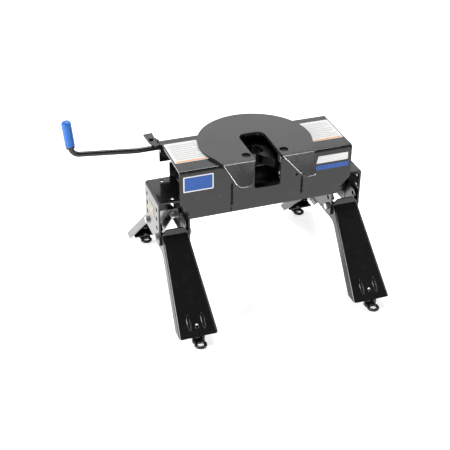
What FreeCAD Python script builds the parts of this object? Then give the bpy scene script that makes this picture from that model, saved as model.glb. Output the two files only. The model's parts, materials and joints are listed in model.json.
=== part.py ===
import FreeCAD, Part
import math
import os
import Sketcher

# A fifth wheel hitch. Millimetres, +Z up. The origin is on the plane of the bed rails, midway
# between the four feet. +Y points to the cab, -Y to the tailgate, where the king pin comes in,
# and +X to the passenger's side. "Rear" means the tailgate side, "left" means -X.

V = FreeCAD.Vector

DRIVING = {
    # uprights
    "upright_mid_x": 266.5,
    "upright_width": 93.0,
    "upright_wall": 5.0,
    "upright_bottom": 172.0,
    "upright_top": 312.0,
    "upright_half_depth": 70.0,
    "upright_bend": 9.0,
    "height_hole_y": 49.0,
    "height_hole_first": 191.5,
    "height_hole_pitch": 30.0,
    "height_hole_radius": 6.75,
    "top_hole_radius": 6.0,
    # legs
    "leg_fit_gap": 2.0,
    "leg_wall": 5.0,
    "leg_web_y": 72.0,
    "leg_top": 222.0,
    "leg_bend_z": 204.0,
    "leg_shoulder_y": 93.0,
    "leg_shoulder_z": 191.0,
    "leg_foot_y": 292.4,
    "leg_foot_half_width": 57.0,
    "leg_gusset_z": 158.0,
    "leg_gusset_y": 3.0,
    "leg_gusset_radius": 46.0,
    "leg_cap_rise": 14.0,
    "leg_corner_cut": 16.0,
    "leg_flange_reach": 42.0,
    "leg_fold": 8.0,
    "foot_hole_radius": 5.5,
    "foot_hole_z": 20.0,
    # bolts, nuts and washers
    "hex_corner_radius": 10.5,
    # feet and pull pins
    "rail_pitch": 562.0,
    "tab_thickness": 10.0,
    "tab_half_width": 18.0,
    "tab_drop": 32.0,
    "tab_corner": 8.0,
    "foot_plate_half_width": 40.0,
    "foot_plate_depth": 34.0,
    "foot_plate_thickness": 5.0,
    "pin_reach": 20.0,
    "pin_drop": 20.0,
    "pin_radius": 6.35,
    "pin_eye_radius": 13.5,
    "pin_eye_wire": 5.0,
    "pin_eye_offset": 23.0,
    # pivots of the head
    "pivot_z": 285.0,
    "beam_half_length": 196.0,
    "beam_half_depth": 45.0,
    "beam_half_height": 30.0,
    "beam_wall": 5.0,
    "trunnion_radius": 12.0,
    "trunnion_end": 234.0,
    "bush_radius": 17.0,
    "roll_pin_radius": 10.0,
    "running_gap": 0.08,
    # head
    "head_half_width": 259.0,
    "head_half_depth": 102.0,
    "head_top": 419.0,
    "head_wall": 5.0,
    "head_bend": 9.0,
    "skirt_bottom": 283.0,
    "skirt_corner_x": 226.0,
    "skirt_side_bottom": 317.0,
    "front_skirt_bottom": 349.0,
    "lobe_outer_x": 205.0,
    "lobe_inner_x": 175.0,
    "lobe_drop": 30.0,
    "seam_x": 107.0,
    "throat_plate_bottom": 266.0,
    "window_bottom": 329.0,
    "brace_bottom": 262.0,
    "brace_top": 344.0,
    "brace_half_width": 231.0,
    "brace_wall": 6.0,
    # skid plate
    "skid_thickness": 8.0,
    "skid_radius": 166.0,
    "skid_mid_y": 5.0,
    "slot_half_width": 39.5,
    "slot_end_y": 47.0,
    "slot_corner": 24.0,
    "ear_bend_y": 110.0,
    "ear_tip_y": 181.0,
    "ear_tip_drop": 37.0,
    "ear_outer_x": 135.5,
    "ear_tip_inner_x": 79.0,
    "ear_tip_outer_x": 114.0,
    "ear_tip_radius": 15.0,
    "ear_bend_outer_radius": 20.0,
    "ear_bend_inner_radius": 12.0,
    # jaws
    "king_pin_y": 8.0,
    "king_pin_radius": 25.4,
    "jaw_grip_gap": 0.2,
    "jaw_pivot_x": 56.5,
    "jaw_pivot_y": 77.0,
    "jaw_pin_radius": 12.0,
    "jaw_bottom": 363.0,
    "jaw_top": 391.0,
    "tail_pin_x": 24.0,
    "tail_pin_y": 66.0,
    "tail_pin_radius": 6.0,
    "cage_half_width": 114.0,
    "cage_bottom": 346.0,
    # handle
    "bar_radius": 8.0,
    "bar_y": 86.0,
    "bar_z": 404.0,
    "bar_inner_x": 62.0,
    "bar_bend_x": 330.0,
    "bar_corner_x": 515.0,
    "bar_rise": 19.0,
    "bar_bend_radius": 26.0,
    "grip_radius": 14.0,
    "grip_bottom": 453.0,
    "grip_top": 528.0,
    "handle_travel": 85.0,
    "lock_plate_bottom": 353.5,
    "lock_plate_top": 361.5,
    "lock_plate_left_x": 80.0,
    "lock_plate_right_x": 188.0,
    "lock_plate_rear_y": 51.0,
    "lock_plate_front_y": 89.0,
    "tail_pin_swing": 55.9,
    "tail_pin_rise": 3.8,
    "spring_radius": 9.0,
    "spring_wire": 0.85,
    "spring_turns": 17.0,
    "spring_outer_x": 255.6,
    "spring_inner_x": 92.0,
    "bracket_thickness": 5.0,
    "latch_bolt_x": 277.0,
    "latch_bolt_y": 117.0,
    "latch_bolt_radius": 4.0,
    "latch_bottom": 413.0,
    "latch_thickness": 4.0,
}

doc = FreeCAD.newDocument("FifthWheelHitch")
sheet = doc.addObject("Spreadsheet::Sheet", "Dimensions")
for row, (alias, number) in enumerate(DRIVING.items(), start=1):
    sheet.set(f"A{row}", alias)
    sheet.set(f"B{row}", str(number))
    sheet.setAlias(f"B{row}", alias)
doc.recompute()


class Size:
    """A length that knows its number and the spreadsheet expression that it comes from."""

    def __init__(self, number, text):
        self.number = float(number)
        self.text = text

    def __add__(self, other):
        other = as_size(other)
        return Size(self.number + other.number, f"({self.text} + {other.text})")

    def __sub__(self, other):
        other = as_size(other)
        return Size(self.number - other.number, f"({self.text} - {other.text})")

    def __mul__(self, factor):
        factor = as_size(factor)
        return Size(self.number * factor.number, f"({self.text} * {factor.text})")

    def __truediv__(self, divisor):
        divisor = as_size(divisor)
        return Size(self.number / divisor.number, f"({self.text} / {divisor.text})")

    def __neg__(self):
        return self * -1

    __radd__ = __add__
    __rmul__ = __mul__

    def __rsub__(self, other):
        return as_size(other) - self


def as_size(value):
    if isinstance(value, Size):
        return value
    return Size(value, f"({value})")


class Cells:
    """The spreadsheet's cells as Size values, by alias."""

    def __getattr__(self, alias):
        return Size(getattr(sheet, alias), f"Dimensions.{alias}")


dim = Cells()
PARTS = []


def keep(item, label):
    """Name an object as one of the hitch's pieces."""
    item.Label = label
    PARTS.append(item)
    return item


# ---- PartDesign helpers -------------------------------------------------------------------


def new_body(label):
    return keep(doc.addObject("PartDesign::Body", label), label)


def origin_plane(body, role):
    planes = [feature for feature in body.Origin.OriginFeatures if feature.Role == role]
    return planes[0]


def bind_point(sketch, geometry, position, point):
    """Tie a point of the sketch to its two coordinates, an axis where one is zero."""
    for kind, axis, size in (("DistanceX", -2, point[0]), ("DistanceY", -1, point[1])):
        size = as_size(size)
        if abs(size.number) < 1e-9:
            sketch.addConstraint(Sketcher.Constraint("PointOnObject", geometry, position, axis))
            continue
        row = sketch.addConstraint(
            Sketcher.Constraint(kind, -1, 1, geometry, position, size.number)
        )
        sketch.setExpression(f"Constraints[{row}]", size.text)


def draw_polygon(sketch, points):
    first = sketch.GeometryCount
    count = len(points)
    flat = [V(as_size(x).number, as_size(y).number, 0) for x, y in points]
    for step in range(count):
        sketch.addGeometry(Part.LineSegment(flat[step], flat[(step + 1) % count]), False)
    for step in range(count):
        following = first + (step + 1) % count
        sketch.addConstraint(Sketcher.Constraint("Coincident", first + step, 2, following, 1))
        bind_point(sketch, first + step, 1, points[step])


def draw_circle(sketch, centre, radius):
    radius = as_size(radius)
    middle = V(as_size(centre[0]).number, as_size(centre[1]).number, 0)
    ring = sketch.addGeometry(Part.Circle(middle, V(0, 0, 1), radius.number), False)
    bind_point(sketch, ring, 3, centre)
    row = sketch.addConstraint(Sketcher.Constraint("Radius", ring, radius.number))
    sketch.setExpression(f"Constraints[{row}]", radius.text)


def circle(x, y, radius):
    return {"centre": (x, y), "radius": radius}


def rectangle(x_low, x_high, y_low, y_high):
    return [(x_low, y_low), (x_high, y_low), (x_high, y_high), (x_low, y_high)]


def finished(feature, body):
    """Recompute a feature and stop at once where it fails."""
    doc.recompute([feature])
    if "Invalid" in feature.State or feature.Shape.isNull():
        raise RuntimeError(f"{body.Label}: {feature.Name} failed")
    return feature


def slab(body, kind, role, low, high, *outlines):
    """Add (Pad) or remove (Pocket) the outlines between two levels along the plane's normal axis."""
    middle = (as_size(low) + as_size(high)) / 2
    if role == "XZ_Plane":
        middle = -middle
    sketch = body.newObject("Sketcher::SketchObject", "Outline")
    sketch.AttachmentSupport = [(origin_plane(body, role), "")]
    sketch.MapMode = "FlatFace"
    sketch.setExpression("AttachmentOffset.Base.z", middle.text)
    for outline in outlines:
        if isinstance(outline, dict):
            draw_circle(sketch, outline["centre"], outline["radius"])
        else:
            draw_polygon(sketch, outline)
    doc.recompute([sketch])
    feature = body.newObject(f"PartDesign::{kind}", kind)
    feature.Profile = sketch
    if kind == "Pad":
        feature.SideType = "Symmetric"
    else:
        feature.Midplane = True
    feature.setExpression("Length", (as_size(high) - as_size(low)).text)
    return finished(feature, body)


def soften(body, kind, radius, chosen):
    """Fillet or Chamfer the tip's edges that the test picks."""
    base = body.Tip
    names = [f"Edge{n}" for n, edge in enumerate(base.Shape.Edges, start=1) if chosen(edge)]
    feature = body.newObject(f"PartDesign::{kind}", kind)
    feature.Base = (base, names)
    prop = "Radius" if kind == "Fillet" else "Size"
    feature.setExpression(prop, as_size(radius).text)
    return finished(feature, body)


def along(edge, axis):
    """True for a straight edge that runs along X, Y or Z."""
    if not isinstance(edge.Curve, Part.Line):
        return False
    run = edge.Curve.Direction
    return abs(abs(getattr(run, axis)) - 1) < 1e-6


def near(number, size):
    return abs(number - as_size(size).number) < 0.05


def cylinder_body(label, role, parts):
    """A turned piece: coaxial or separate cylinders, each (low, high, u, v, radius)."""
    body = new_body(label)
    for low, high, across, up, radius in parts:
        slab(body, "Pad", role, low, high, circle(across, up, radius))
    return body


# ---- uprights -----------------------------------------------------------------------------


def height_hole_levels():
    return [dim.height_hole_first + dim.height_hole_pitch * step for step in range(4)]


def make_upright(label, side):
    """An inverted U of bent plate: outer wall, top and inner wall, open at front and rear."""
    outer = dim.upright_mid_x + dim.upright_width / 2
    inner = dim.upright_mid_x - dim.upright_width / 2
    wall = dim.upright_wall
    body = new_body(label)
    deep = dim.upright_half_depth
    slab(body, "Pad", "XZ_Plane", -deep, deep,
         rectangle(side * inner, side * outer, dim.upright_bottom, dim.upright_top))
    soften(body, "Fillet", dim.upright_bend,
           lambda edge: along(edge, "y") and near(edge.BoundBox.ZMin, dim.upright_top))
    slab(body, "Pocket", "XZ_Plane", -deep - 1, deep + 1,
         rectangle(side * (inner + wall), side * (outer - wall),
                   dim.upright_bottom - 1, dim.upright_top - wall))
    soften(body, "Fillet", dim.upright_bend - wall,
           lambda edge: along(edge, "y") and near(edge.BoundBox.ZMin, dim.upright_top - wall))
    holes = [circle(y, z, dim.height_hole_radius)
             for z in height_hole_levels() for y in (-dim.height_hole_y, dim.height_hole_y)]
    low, high = sorted((side * (inner - 1), side * (outer + 1)), key=lambda size: size.number)
    slab(body, "Pocket", "YZ_Plane", low, high, *holes)
    slab(body, "Pocket", "XY_Plane", dim.upright_top - wall - 1, dim.upright_top + 1,
         *[circle(side * dim.upright_mid_x, y, dim.top_hole_radius) for y in (-52, 52)])
    low, high = sorted((side * (inner - 1), side * (inner + wall + 1)), key=lambda size: size.number)
    slab(body, "Pocket", "YZ_Plane", low, high, circle(0, dim.pivot_z, dim.bush_radius + 0.05))
    return body


# ---- legs and feet ------------------------------------------------------------------------


def leg_slope():
    """How far the leg's web runs outward for each millimetre that it drops."""
    return (dim.leg_foot_y - dim.leg_shoulder_y) / dim.leg_shoulder_z


def make_leg(label, side, end):
    """A pressed channel: a web that faces out and slopes to the foot, and two flanges."""
    body = new_body(label)
    slope = leg_slope()
    top_half = dim.upright_width / 2 - dim.upright_wall - dim.leg_fit_gap
    foot_half = dim.leg_foot_half_width
    wall = dim.leg_wall
    reach = dim.leg_flange_reach
    web = dim.leg_web_y
    gusset_corner = dim.leg_foot_y - reach - slope * dim.leg_gusset_z
    cap_top = dim.leg_top + dim.leg_cap_rise
    flange = [
        (-web, dim.leg_top), (-web, dim.leg_bend_z),
        (-dim.leg_shoulder_y, dim.leg_shoulder_z), (-dim.leg_foot_y, 0),
        (reach - dim.leg_foot_y, 0), (-gusset_corner, dim.leg_gusset_z),
        (-dim.leg_gusset_y, dim.leg_gusset_z), (-dim.leg_gusset_y, cap_top - 10),
        (-dim.leg_gusset_y - 10, cap_top), (-web + dim.leg_cap_rise, cap_top),
    ]
    slab(body, "Pad", "YZ_Plane", -foot_half, foot_half, flange)
    soften(body, "Fillet", dim.leg_gusset_radius,
           lambda edge: along(edge, "x") and near(edge.BoundBox.ZMin, dim.leg_gusset_z)
           and near(edge.BoundBox.YMin, -gusset_corner))
    inside_top = top_half - wall
    inside_foot = foot_half - wall
    above = dim.leg_top + 30
    shoulder = dim.leg_shoulder_z
    slab(body, "Pocket", "XZ_Plane", -dim.leg_foot_y - 1, 1, [
        (-inside_foot, -1), (inside_foot, -1), (inside_top, shoulder), (inside_top, above),
        (-inside_top, above), (-inside_top, shoulder)])
    thick = wall * 1.45
    strip = [
        (-web + wall, dim.leg_top), (-web, dim.leg_top), (-web, dim.leg_bend_z),
        (-dim.leg_shoulder_y, shoulder), (-dim.leg_foot_y, 0), (thick - dim.leg_foot_y, 0),
        (thick * 0.97 - dim.leg_shoulder_y, shoulder - 1), (-web + wall, dim.leg_bend_z - 3.5),
    ]
    slab(body, "Pad", "YZ_Plane", -foot_half, foot_half, strip)
    for hand in (-1, 1):
        slab(body, "Pocket", "XZ_Plane", -dim.leg_foot_y - 1, 1, [
            (hand * foot_half, 0), (hand * (foot_half + 5), -1), (hand * (foot_half + 5), above),
            (hand * top_half, above), (hand * top_half, shoulder)])
    soften(body, "Fillet", dim.leg_fold,
           lambda edge: isinstance(edge.Curve, Part.Line)
           and abs(edge.BoundBox.Center.x) > 30 and leg_front_edge(edge))
    cut = dim.leg_corner_cut
    for hand in (-1, 1):
        slab(body, "Pocket", "XZ_Plane", -web - 1, -web + dim.leg_cap_rise, [
            (hand * (top_half + 1), dim.leg_top - cut), (hand * (top_half + 1), dim.leg_top + 1),
            (hand * (top_half - cut), dim.leg_top + 1)])
    slab(body, "Pocket", "YZ_Plane", -foot_half - 1, foot_half + 1,
         *[circle(-dim.height_hole_y, z, dim.height_hole_radius) for z in height_hole_levels()[:2]])
    slab(body, "Pocket", "XZ_Plane", -dim.leg_foot_y - 1, -dim.leg_foot_y + 50,
         circle(0, dim.foot_hole_z, dim.foot_hole_radius))
    place(body, side, end)
    return body


def leg_front_edge(edge):
    """True for the folds between the leg's web and its flanges, below the upper bend."""
    web = dim.leg_web_y.number
    foot = dim.leg_foot_y.number
    slope = leg_slope().number
    for vertex in edge.Vertexes:
        y, z = vertex.Point.y, vertex.Point.z
        on_bend = abs(y + web) < 0.1 and near(z, dim.leg_bend_z)
        on_slope = abs(y + foot - slope * z) < 0.3 and z < dim.leg_shoulder_z.number + 0.1
        if not (on_bend or on_slope):
            return False
    return edge.BoundBox.ZLength > 5


def place(body, side, end):
    """Stand a rear leg's piece under its upright; a front one is turned half round."""
    body.setExpression("Placement.Base.x", (side * dim.upright_mid_x).text)
    if end > 0:
        body.Placement.Rotation = FreeCAD.Rotation(V(0, 0, 1), 180)
        body.setExpression("Placement.Base.x", (side * dim.upright_mid_x).text)


def make_foot_tab(label, side, end):
    """The foot's floor plate and the tab that drops through the slot of a bed rail."""
    body = new_body(label)
    tab = dim.rail_pitch / 2
    half = dim.tab_thickness / 2
    wide = dim.tab_half_width
    cut = dim.tab_corner
    slab(body, "Pad", "YZ_Plane", -dim.foot_plate_half_width, dim.foot_plate_half_width,
         rectangle(-tab + 1.2, -tab + dim.foot_plate_depth, 0, dim.foot_plate_thickness))
    slab(body, "Pad", "XZ_Plane", -tab - half, -tab + half,
         [(-wide, 0), (-wide, cut - dim.tab_drop), (cut - wide, -dim.tab_drop),
          (wide - cut, -dim.tab_drop), (wide, cut - dim.tab_drop), (wide, 0)])
    slab(body, "Pocket", "XZ_Plane", -tab - half - 1, -tab + half + 1,
         circle(0, -dim.pin_drop, dim.pin_radius + 0.05))
    place(body, side, end)
    return body


def make_pull_pin(label, side, end):
    """A round pin with an eye, pushed through the tab from the tailgate side."""
    tab = end * dim.rail_pitch / 2
    eye = tab - dim.pin_eye_offset
    start = eye + dim.pin_eye_radius
    finish = tab + dim.pin_reach
    shank = doc.addObject("Part::Cylinder", "Shank")
    shank.setExpression("Radius", dim.pin_radius.text)
    shank.setExpression("Height", (finish - start).text)
    tip = doc.addObject("Part::Cone", "Tip")
    tip.setExpression("Radius1", dim.pin_radius.text)
    tip.setExpression("Radius2", (dim.pin_radius - 2.5).text)
    tip.Height = 4
    ring = doc.addObject("Part::Torus", "Eye")
    ring.setExpression("Radius1", dim.pin_eye_radius.text)
    ring.setExpression("Radius2", dim.pin_eye_wire.text)
    turned = FreeCAD.Rotation(V(1, 0, 0), -90)
    for item, level in ((shank, start), (tip, finish), (ring, eye)):
        if item is not ring:
            item.Placement.Rotation = turned
        item.setExpression("Placement.Base.x", (side * dim.upright_mid_x).text)
        item.setExpression("Placement.Base.y", level.text)
        item.setExpression("Placement.Base.z", (-dim.pin_drop).text)
    whole = doc.addObject("Part::MultiFuse", label)
    whole.Shapes = [shank, tip, ring]
    return keep(whole, label)


# ---- bolts --------------------------------------------------------------------------------


def bolt_sites():
    """Each leg has one bolt through the outer wall and one through the inner wall."""
    outer = dim.upright_mid_x + dim.upright_width / 2
    inner = dim.upright_mid_x - dim.upright_width / 2
    sites = []
    for side in (-1, 1):
        for end in (-1, 1):
            sites.append((side, end * dim.height_hole_y, outer, 1))
            sites.append((side, end * dim.height_hole_y, inner, -1))
    return sites


def hexagon(across, up, radius):
    """A hexagon with its corners at the radius."""
    return [(across + radius * math.cos(math.radians(60 * step)),
             up + radius * math.sin(math.radians(60 * step))) for step in range(6)]


def span(side, low, high):
    """Two levels along X, mirrored for the left side, lowest first."""
    return sorted((side * low, side * high), key=lambda size: as_size(size).number)


def make_leg_bolts():
    """Bolts whose heads are on the uprights' outer faces."""
    body = new_body("leg_bolts")
    body.AllowCompound = True
    for side, y, face, way in bolt_sites():
        level = dim.height_hole_first
        low, high = span(side, face, face + way * 7.5)
        slab(body, "Pad", "YZ_Plane", low, high, hexagon(y, level, dim.hex_corner_radius))
        low, high = span(side, face - way * 24, face)
        slab(body, "Pad", "YZ_Plane", low, high, circle(y, level, 6))
    return body


def make_leg_nuts():
    """Nuts inside the legs, against the flanges."""
    body = new_body("leg_nuts")
    body.AllowCompound = True
    grip = dim.upright_wall + dim.leg_fit_gap + dim.leg_wall
    for side, y, face, way in bolt_sites():
        level = dim.height_hole_first
        low, high = span(side, face - way * (grip + 10.5), face - way * (grip + 0.5))
        slab(body, "Pad", "YZ_Plane", low, high,
             hexagon(y, level, dim.hex_corner_radius), circle(y, level, 6.05))
    return body


# ---- pivots -------------------------------------------------------------------------------


def make_bushing(label, side):
    inner = dim.upright_mid_x - dim.upright_width / 2
    body = new_body(label)
    hole = circle(0, dim.pivot_z, dim.trunnion_radius + dim.running_gap)
    low, high = span(side, inner - 5, inner - 0.1)
    slab(body, "Pad", "YZ_Plane", low, high, circle(0, dim.pivot_z, dim.bush_radius + 6), hole)
    low, high = span(side, inner - 1, inner + 7)
    slab(body, "Pad", "YZ_Plane", low, high, circle(0, dim.pivot_z, dim.bush_radius), hole)
    return body


def make_pivot_beam():
    """The box tube that pitches on the trunnions and carries the roll pin."""
    body = new_body("pivot_beam")
    deep = dim.beam_half_depth
    tall = dim.beam_half_height
    wall = dim.beam_wall
    slab(body, "Pad", "YZ_Plane", -dim.beam_half_length, dim.beam_half_length,
         rectangle(-deep, deep, dim.pivot_z - tall, dim.pivot_z + tall))
    soften(body, "Fillet", 8, lambda edge: along(edge, "x"))
    slab(body, "Pocket", "YZ_Plane", -dim.beam_half_length - 1, dim.beam_half_length + 1,
         rectangle(wall - deep, deep - wall,
                   dim.pivot_z - tall + wall, dim.pivot_z + tall - wall))
    slab(body, "Pocket", "XZ_Plane", -deep - 1, deep + 1,
         circle(0, dim.pivot_z, dim.roll_pin_radius + 5.05))
    return body


def make_trunnion(label, side):
    """An end plate of the beam with the stub shaft that turns in the bushing."""
    body = new_body(label)
    deep = dim.beam_half_depth
    tall = dim.beam_half_height
    face = dim.beam_half_length
    low, high = span(side, face + 0.05, face + 6)
    slab(body, "Pad", "YZ_Plane", low, high,
         rectangle(2 - deep, deep - 2, dim.pivot_z - tall + 2, dim.pivot_z + tall - 2))
    soften(body, "Fillet", 7, lambda edge: along(edge, "x"))
    low, high = span(side, face + 5, dim.upright_mid_x - dim.upright_width / 2 - 5.3)
    slab(body, "Pad", "YZ_Plane", low, high, circle(0, dim.pivot_z, dim.trunnion_radius + 6))
    low, high = span(side, face + 5, dim.trunnion_end)
    slab(body, "Pad", "YZ_Plane", low, high, circle(0, dim.pivot_z, dim.trunnion_radius))
    return body


def make_trunnion_clips():
    body = new_body("trunnion_clips")
    body.AllowCompound = True
    for side in (-1, 1):
        low, high = span(side, dim.trunnion_end - 4, dim.trunnion_end - 2)
        slab(body, "Pad", "YZ_Plane", low, high,
             circle(0, dim.pivot_z, dim.trunnion_radius + 4),
             circle(0, dim.pivot_z, dim.trunnion_radius + 0.05))
    return body


def make_roll_parts():
    """The fore-and-aft pin that the head rocks on, its sleeve in the beam, spacers and clip."""
    pin = dim.roll_pin_radius
    level = dim.pivot_z
    cylinder_body("roll_pin", "XZ_Plane", [
        (0.3 - dim.head_half_depth + dim.head_wall, dim.head_half_depth + 2, 0, level, pin),
        (dim.head_half_depth - 4.7, dim.head_half_depth + 2.3, 0, level, pin + 6),
    ])
    sleeve = new_body("roll_sleeve")
    slab(sleeve, "Pad", "XZ_Plane", -dim.beam_half_depth, dim.beam_half_depth,
         circle(0, level, pin + 5), circle(0, level, pin + dim.running_gap))
    spacers = new_body("roll_spacers")
    spacers.AllowCompound = True
    inside = dim.head_half_depth - dim.head_wall - dim.brace_wall
    for end in (-1, 1):
        low, high = span(end, dim.beam_half_depth + 0.5, inside)
        slab(spacers, "Pad", "XZ_Plane", low, high,
             circle(0, level, pin + 8), circle(0, level, pin + 0.05))


# ---- head ---------------------------------------------------------------------------------


def throat_slot(half, end_y, mouth_y):
    return [(-half, -mouth_y), (half, -mouth_y), (half, end_y), (-half, end_y)]


def slot_corners(half, end_y):
    return lambda edge: (along(edge, "z") and near(abs(edge.BoundBox.XMin), half)
                         and near(edge.BoundBox.YMin, end_y))


def make_head_shell():
    """One bent sheet: the two wings on top, with a skirt down the rear and one down the front."""
    body = new_body("head_shell")
    wide = dim.head_half_width
    deep = dim.head_half_depth
    wall = dim.head_wall
    top = dim.head_top
    slab(body, "Pad", "YZ_Plane", -wide, wide, rectangle(-deep, deep, dim.skirt_bottom, top))
    soften(body, "Fillet", dim.head_bend, lambda edge: along(edge, "x") and edge.BoundBox.ZMin > 400)
    slab(body, "Pocket", "YZ_Plane", -wide - 1, wide + 1,
         rectangle(wall - deep, deep - wall, dim.skirt_bottom - 1, top - wall))
    soften(body, "Fillet", dim.head_bend - wall,
           lambda edge: along(edge, "x") and near(edge.BoundBox.ZMin, top - wall))
    for hand in (-1, 1):
        slab(body, "Pocket", "XZ_Plane", -deep - 1, -deep + wall + 1, [
            (hand * (wide + 1), dim.skirt_bottom - 1), (hand * (wide + 1), dim.skirt_side_bottom),
            (hand * wide, dim.skirt_side_bottom), (hand * dim.skirt_corner_x, dim.skirt_bottom),
            (hand * dim.skirt_corner_x, dim.skirt_bottom - 1)])
        slab(body, "Pocket", "XZ_Plane", deep - wall - 1, deep + 1, [
            (hand * (wide + 1), dim.skirt_bottom - 1), (hand * (wide + 1), dim.front_skirt_bottom),
            (hand * dim.lobe_outer_x, dim.front_skirt_bottom),
            (hand * dim.lobe_inner_x, dim.front_skirt_bottom - dim.lobe_drop),
            (hand * dim.lobe_inner_x, dim.skirt_bottom - 1)])
    slab(body, "Pocket", "XZ_Plane", deep - wall - 1, deep + 1,
         rectangle(-dim.lobe_inner_x - 1, dim.lobe_inner_x + 1,
                   dim.skirt_bottom - 1, dim.front_skirt_bottom - dim.lobe_drop))
    seam = dim.seam_x
    slab(body, "Pocket", "XZ_Plane", -deep - 1, -deep + wall + 1,
         rectangle(-seam, seam, dim.skirt_bottom - 1, top - dim.head_bend))
    half = dim.slot_half_width + 1.5
    end_y = dim.slot_end_y + 1.5
    slab(body, "Pocket", "XY_Plane", top - dim.head_bend - 1, top + 1,
         throat_slot(half, end_y, deep + 1))
    soften(body, "Fillet", dim.slot_corner, slot_corners(half, end_y))
    pivots = [circle(hand * dim.jaw_pivot_x, -dim.jaw_pivot_y, dim.jaw_pin_radius + 0.05)
              for hand in (-1, 1)]
    slab(body, "Pocket", "XY_Plane", top - wall - 1, top + 1, *pivots)
    return body


def make_throat_plate():
    """The plate in the middle of the rear skirt, with the window that the king pin enters by."""
    body = new_body("throat_plate")
    deep = dim.head_half_depth
    edge_x = dim.seam_x - 1
    slab(body, "Pad", "XZ_Plane", -deep, -deep + dim.head_wall,
         rectangle(-edge_x, edge_x, dim.throat_plate_bottom, dim.head_top - dim.head_bend - 0.2))
    slab(body, "Pocket", "XZ_Plane", -deep - 1, -deep + dim.head_wall + 1,
         rectangle(-dim.slot_half_width, dim.slot_half_width, dim.window_bottom, dim.head_top))
    soften(body, "Fillet", 9, lambda edge: along(edge, "y") and near(edge.BoundBox.ZMin, dim.window_bottom))
    slab(body, "Pocket", "XZ_Plane", -deep - 1, -deep + dim.head_wall + 1,
         circle(-90, 366, 4), circle(90, 352, 4))
    return body


def make_brace(label, end):
    """A stiffening plate inside the skirt, which carries one end of the roll pin."""
    body = new_body(label)
    inside = dim.head_half_depth - dim.head_wall
    low, high = span(end, inside - dim.brace_wall, inside - 0.05)
    wide = dim.brace_half_width
    slab(body, "Pad", "XZ_Plane", low, high, [
        (-wide, dim.brace_top), (-wide, dim.brace_bottom), (wide, dim.brace_bottom),
        (wide, dim.brace_top)])
    if end < 0:
        half = dim.slot_half_width + 4
        slab(body, "Pocket", "XZ_Plane", low - 1, high + 1,
             rectangle(-half, half, dim.window_bottom - 4, dim.brace_top + 1))
    slab(body, "Pocket", "XZ_Plane", low - 1, high + 1,
         circle(0, dim.pivot_z, dim.roll_pin_radius + 0.05))
    return body


def make_skid_plate():
    """The round bearing plate, with a throat slot and two ears that droop beside the throat."""
    body = new_body("skid_plate")
    low = dim.head_top + 0.05
    top = dim.head_top + dim.skid_thickness
    bend = dim.ear_bend_y
    tip = dim.ear_tip_y
    drop = dim.ear_tip_drop
    thick = dim.skid_thickness
    outer_x = dim.ear_outer_x
    angle = math.atan2(drop.number, (tip - bend).number)
    lean = thick * math.sin(angle)
    down = thick * math.cos(angle)
    tuck = thick * math.tan(angle / 2)
    slab(body, "Pad", "XY_Plane", low, top, circle(0, dim.skid_mid_y, dim.skid_radius))
    slab(body, "Pad", "XY_Plane", low, top, [
        (-outer_x, -bend), (outer_x, -bend), (outer_x + 16, -60), (-outer_x - 16, -60)])
    slab(body, "Pocket", "XY_Plane", low - 1, top + 1, rectangle(-200, 200, -200, -bend))
    slab(body, "Pad", "YZ_Plane", -outer_x, outer_x, [
        (-bend, top), (-tip, top - drop), (lean - tip, top - drop - down), (tuck - bend, low),
        (4 - bend, low), (4 - bend, top)])
    for edge_y, drop_to, radius in ((-bend, top, dim.ear_bend_outer_radius),
                                    (tuck - bend, low, dim.ear_bend_inner_radius)):
        soften(body, "Fillet", radius,
               lambda edge, y=edge_y, z=drop_to: along(edge, "x")
               and near(edge.BoundBox.YMin, y) and near(edge.BoundBox.ZMin, z))
    inner = dim.slot_half_width
    slab(body, "Pocket", "XY_Plane", low - 60, top + 1, [
        (-inner, -bend + 3), (-dim.ear_tip_inner_x, -tip), (-dim.ear_tip_inner_x, -tip - 9),
        (dim.ear_tip_inner_x, -tip - 9), (dim.ear_tip_inner_x, -tip), (inner, -bend + 3)])
    for hand in (-1, 1):
        slab(body, "Pocket", "XY_Plane", low - 60, top + 1, [
            (hand * outer_x, -bend + 1), (hand * dim.ear_tip_outer_x, -tip),
            (hand * dim.ear_tip_outer_x, -tip - 9), (hand * (outer_x + 1), -tip - 9),
            (hand * (outer_x + 1), -bend + 1)])
    slab(body, "Pocket", "XY_Plane", low - 1, top + 1,
         throat_slot(inner, dim.slot_end_y, bend + 2))
    soften(body, "Fillet", dim.slot_corner, slot_corners(inner, dim.slot_end_y))
    soften(body, "Fillet", dim.ear_tip_radius,
           lambda edge: not along(edge, "x") and edge.BoundBox.YMax < 5 - tip.number)
    slab(body, "Pocket", "XY_Plane", low - 1, top + 1,
         *[circle(hand * dim.jaw_pivot_x, -dim.jaw_pivot_y, dim.jaw_pin_radius + 1)
           for hand in (-1, 1)])
    return body


def make_jaw_cage():
    """The plate under the jaws, with side walls welded up to the shell."""
    body = new_body("jaw_cage")
    wide = dim.cage_half_width
    deep = dim.head_half_depth - dim.head_wall - dim.brace_wall
    wall = 6
    low = dim.cage_bottom
    slab(body, "Pad", "XY_Plane", low, low + wall, rectangle(-wide, wide, -deep, deep))
    for side in (-1, 1):
        across = span(side, wide - wall, wide)
        slab(body, "Pad", "XY_Plane", low, dim.head_top - dim.head_wall,
             rectangle(across[0], across[1], -deep, 40))
    half = dim.slot_half_width + 3
    end_y = dim.slot_end_y + 4
    slab(body, "Pocket", "XY_Plane", low - 1, low + wall + 1, throat_slot(half, end_y, deep + 1))
    soften(body, "Fillet", dim.slot_corner, slot_corners(half, end_y))
    slab(body, "Pocket", "XY_Plane", low - 1, low + wall + 1,
         *[circle(hand * dim.jaw_pivot_x, -dim.jaw_pivot_y, dim.jaw_pin_radius + 0.05)
           for hand in (-1, 1)])
    return body


# ---- jaws ---------------------------------------------------------------------------------


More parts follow.
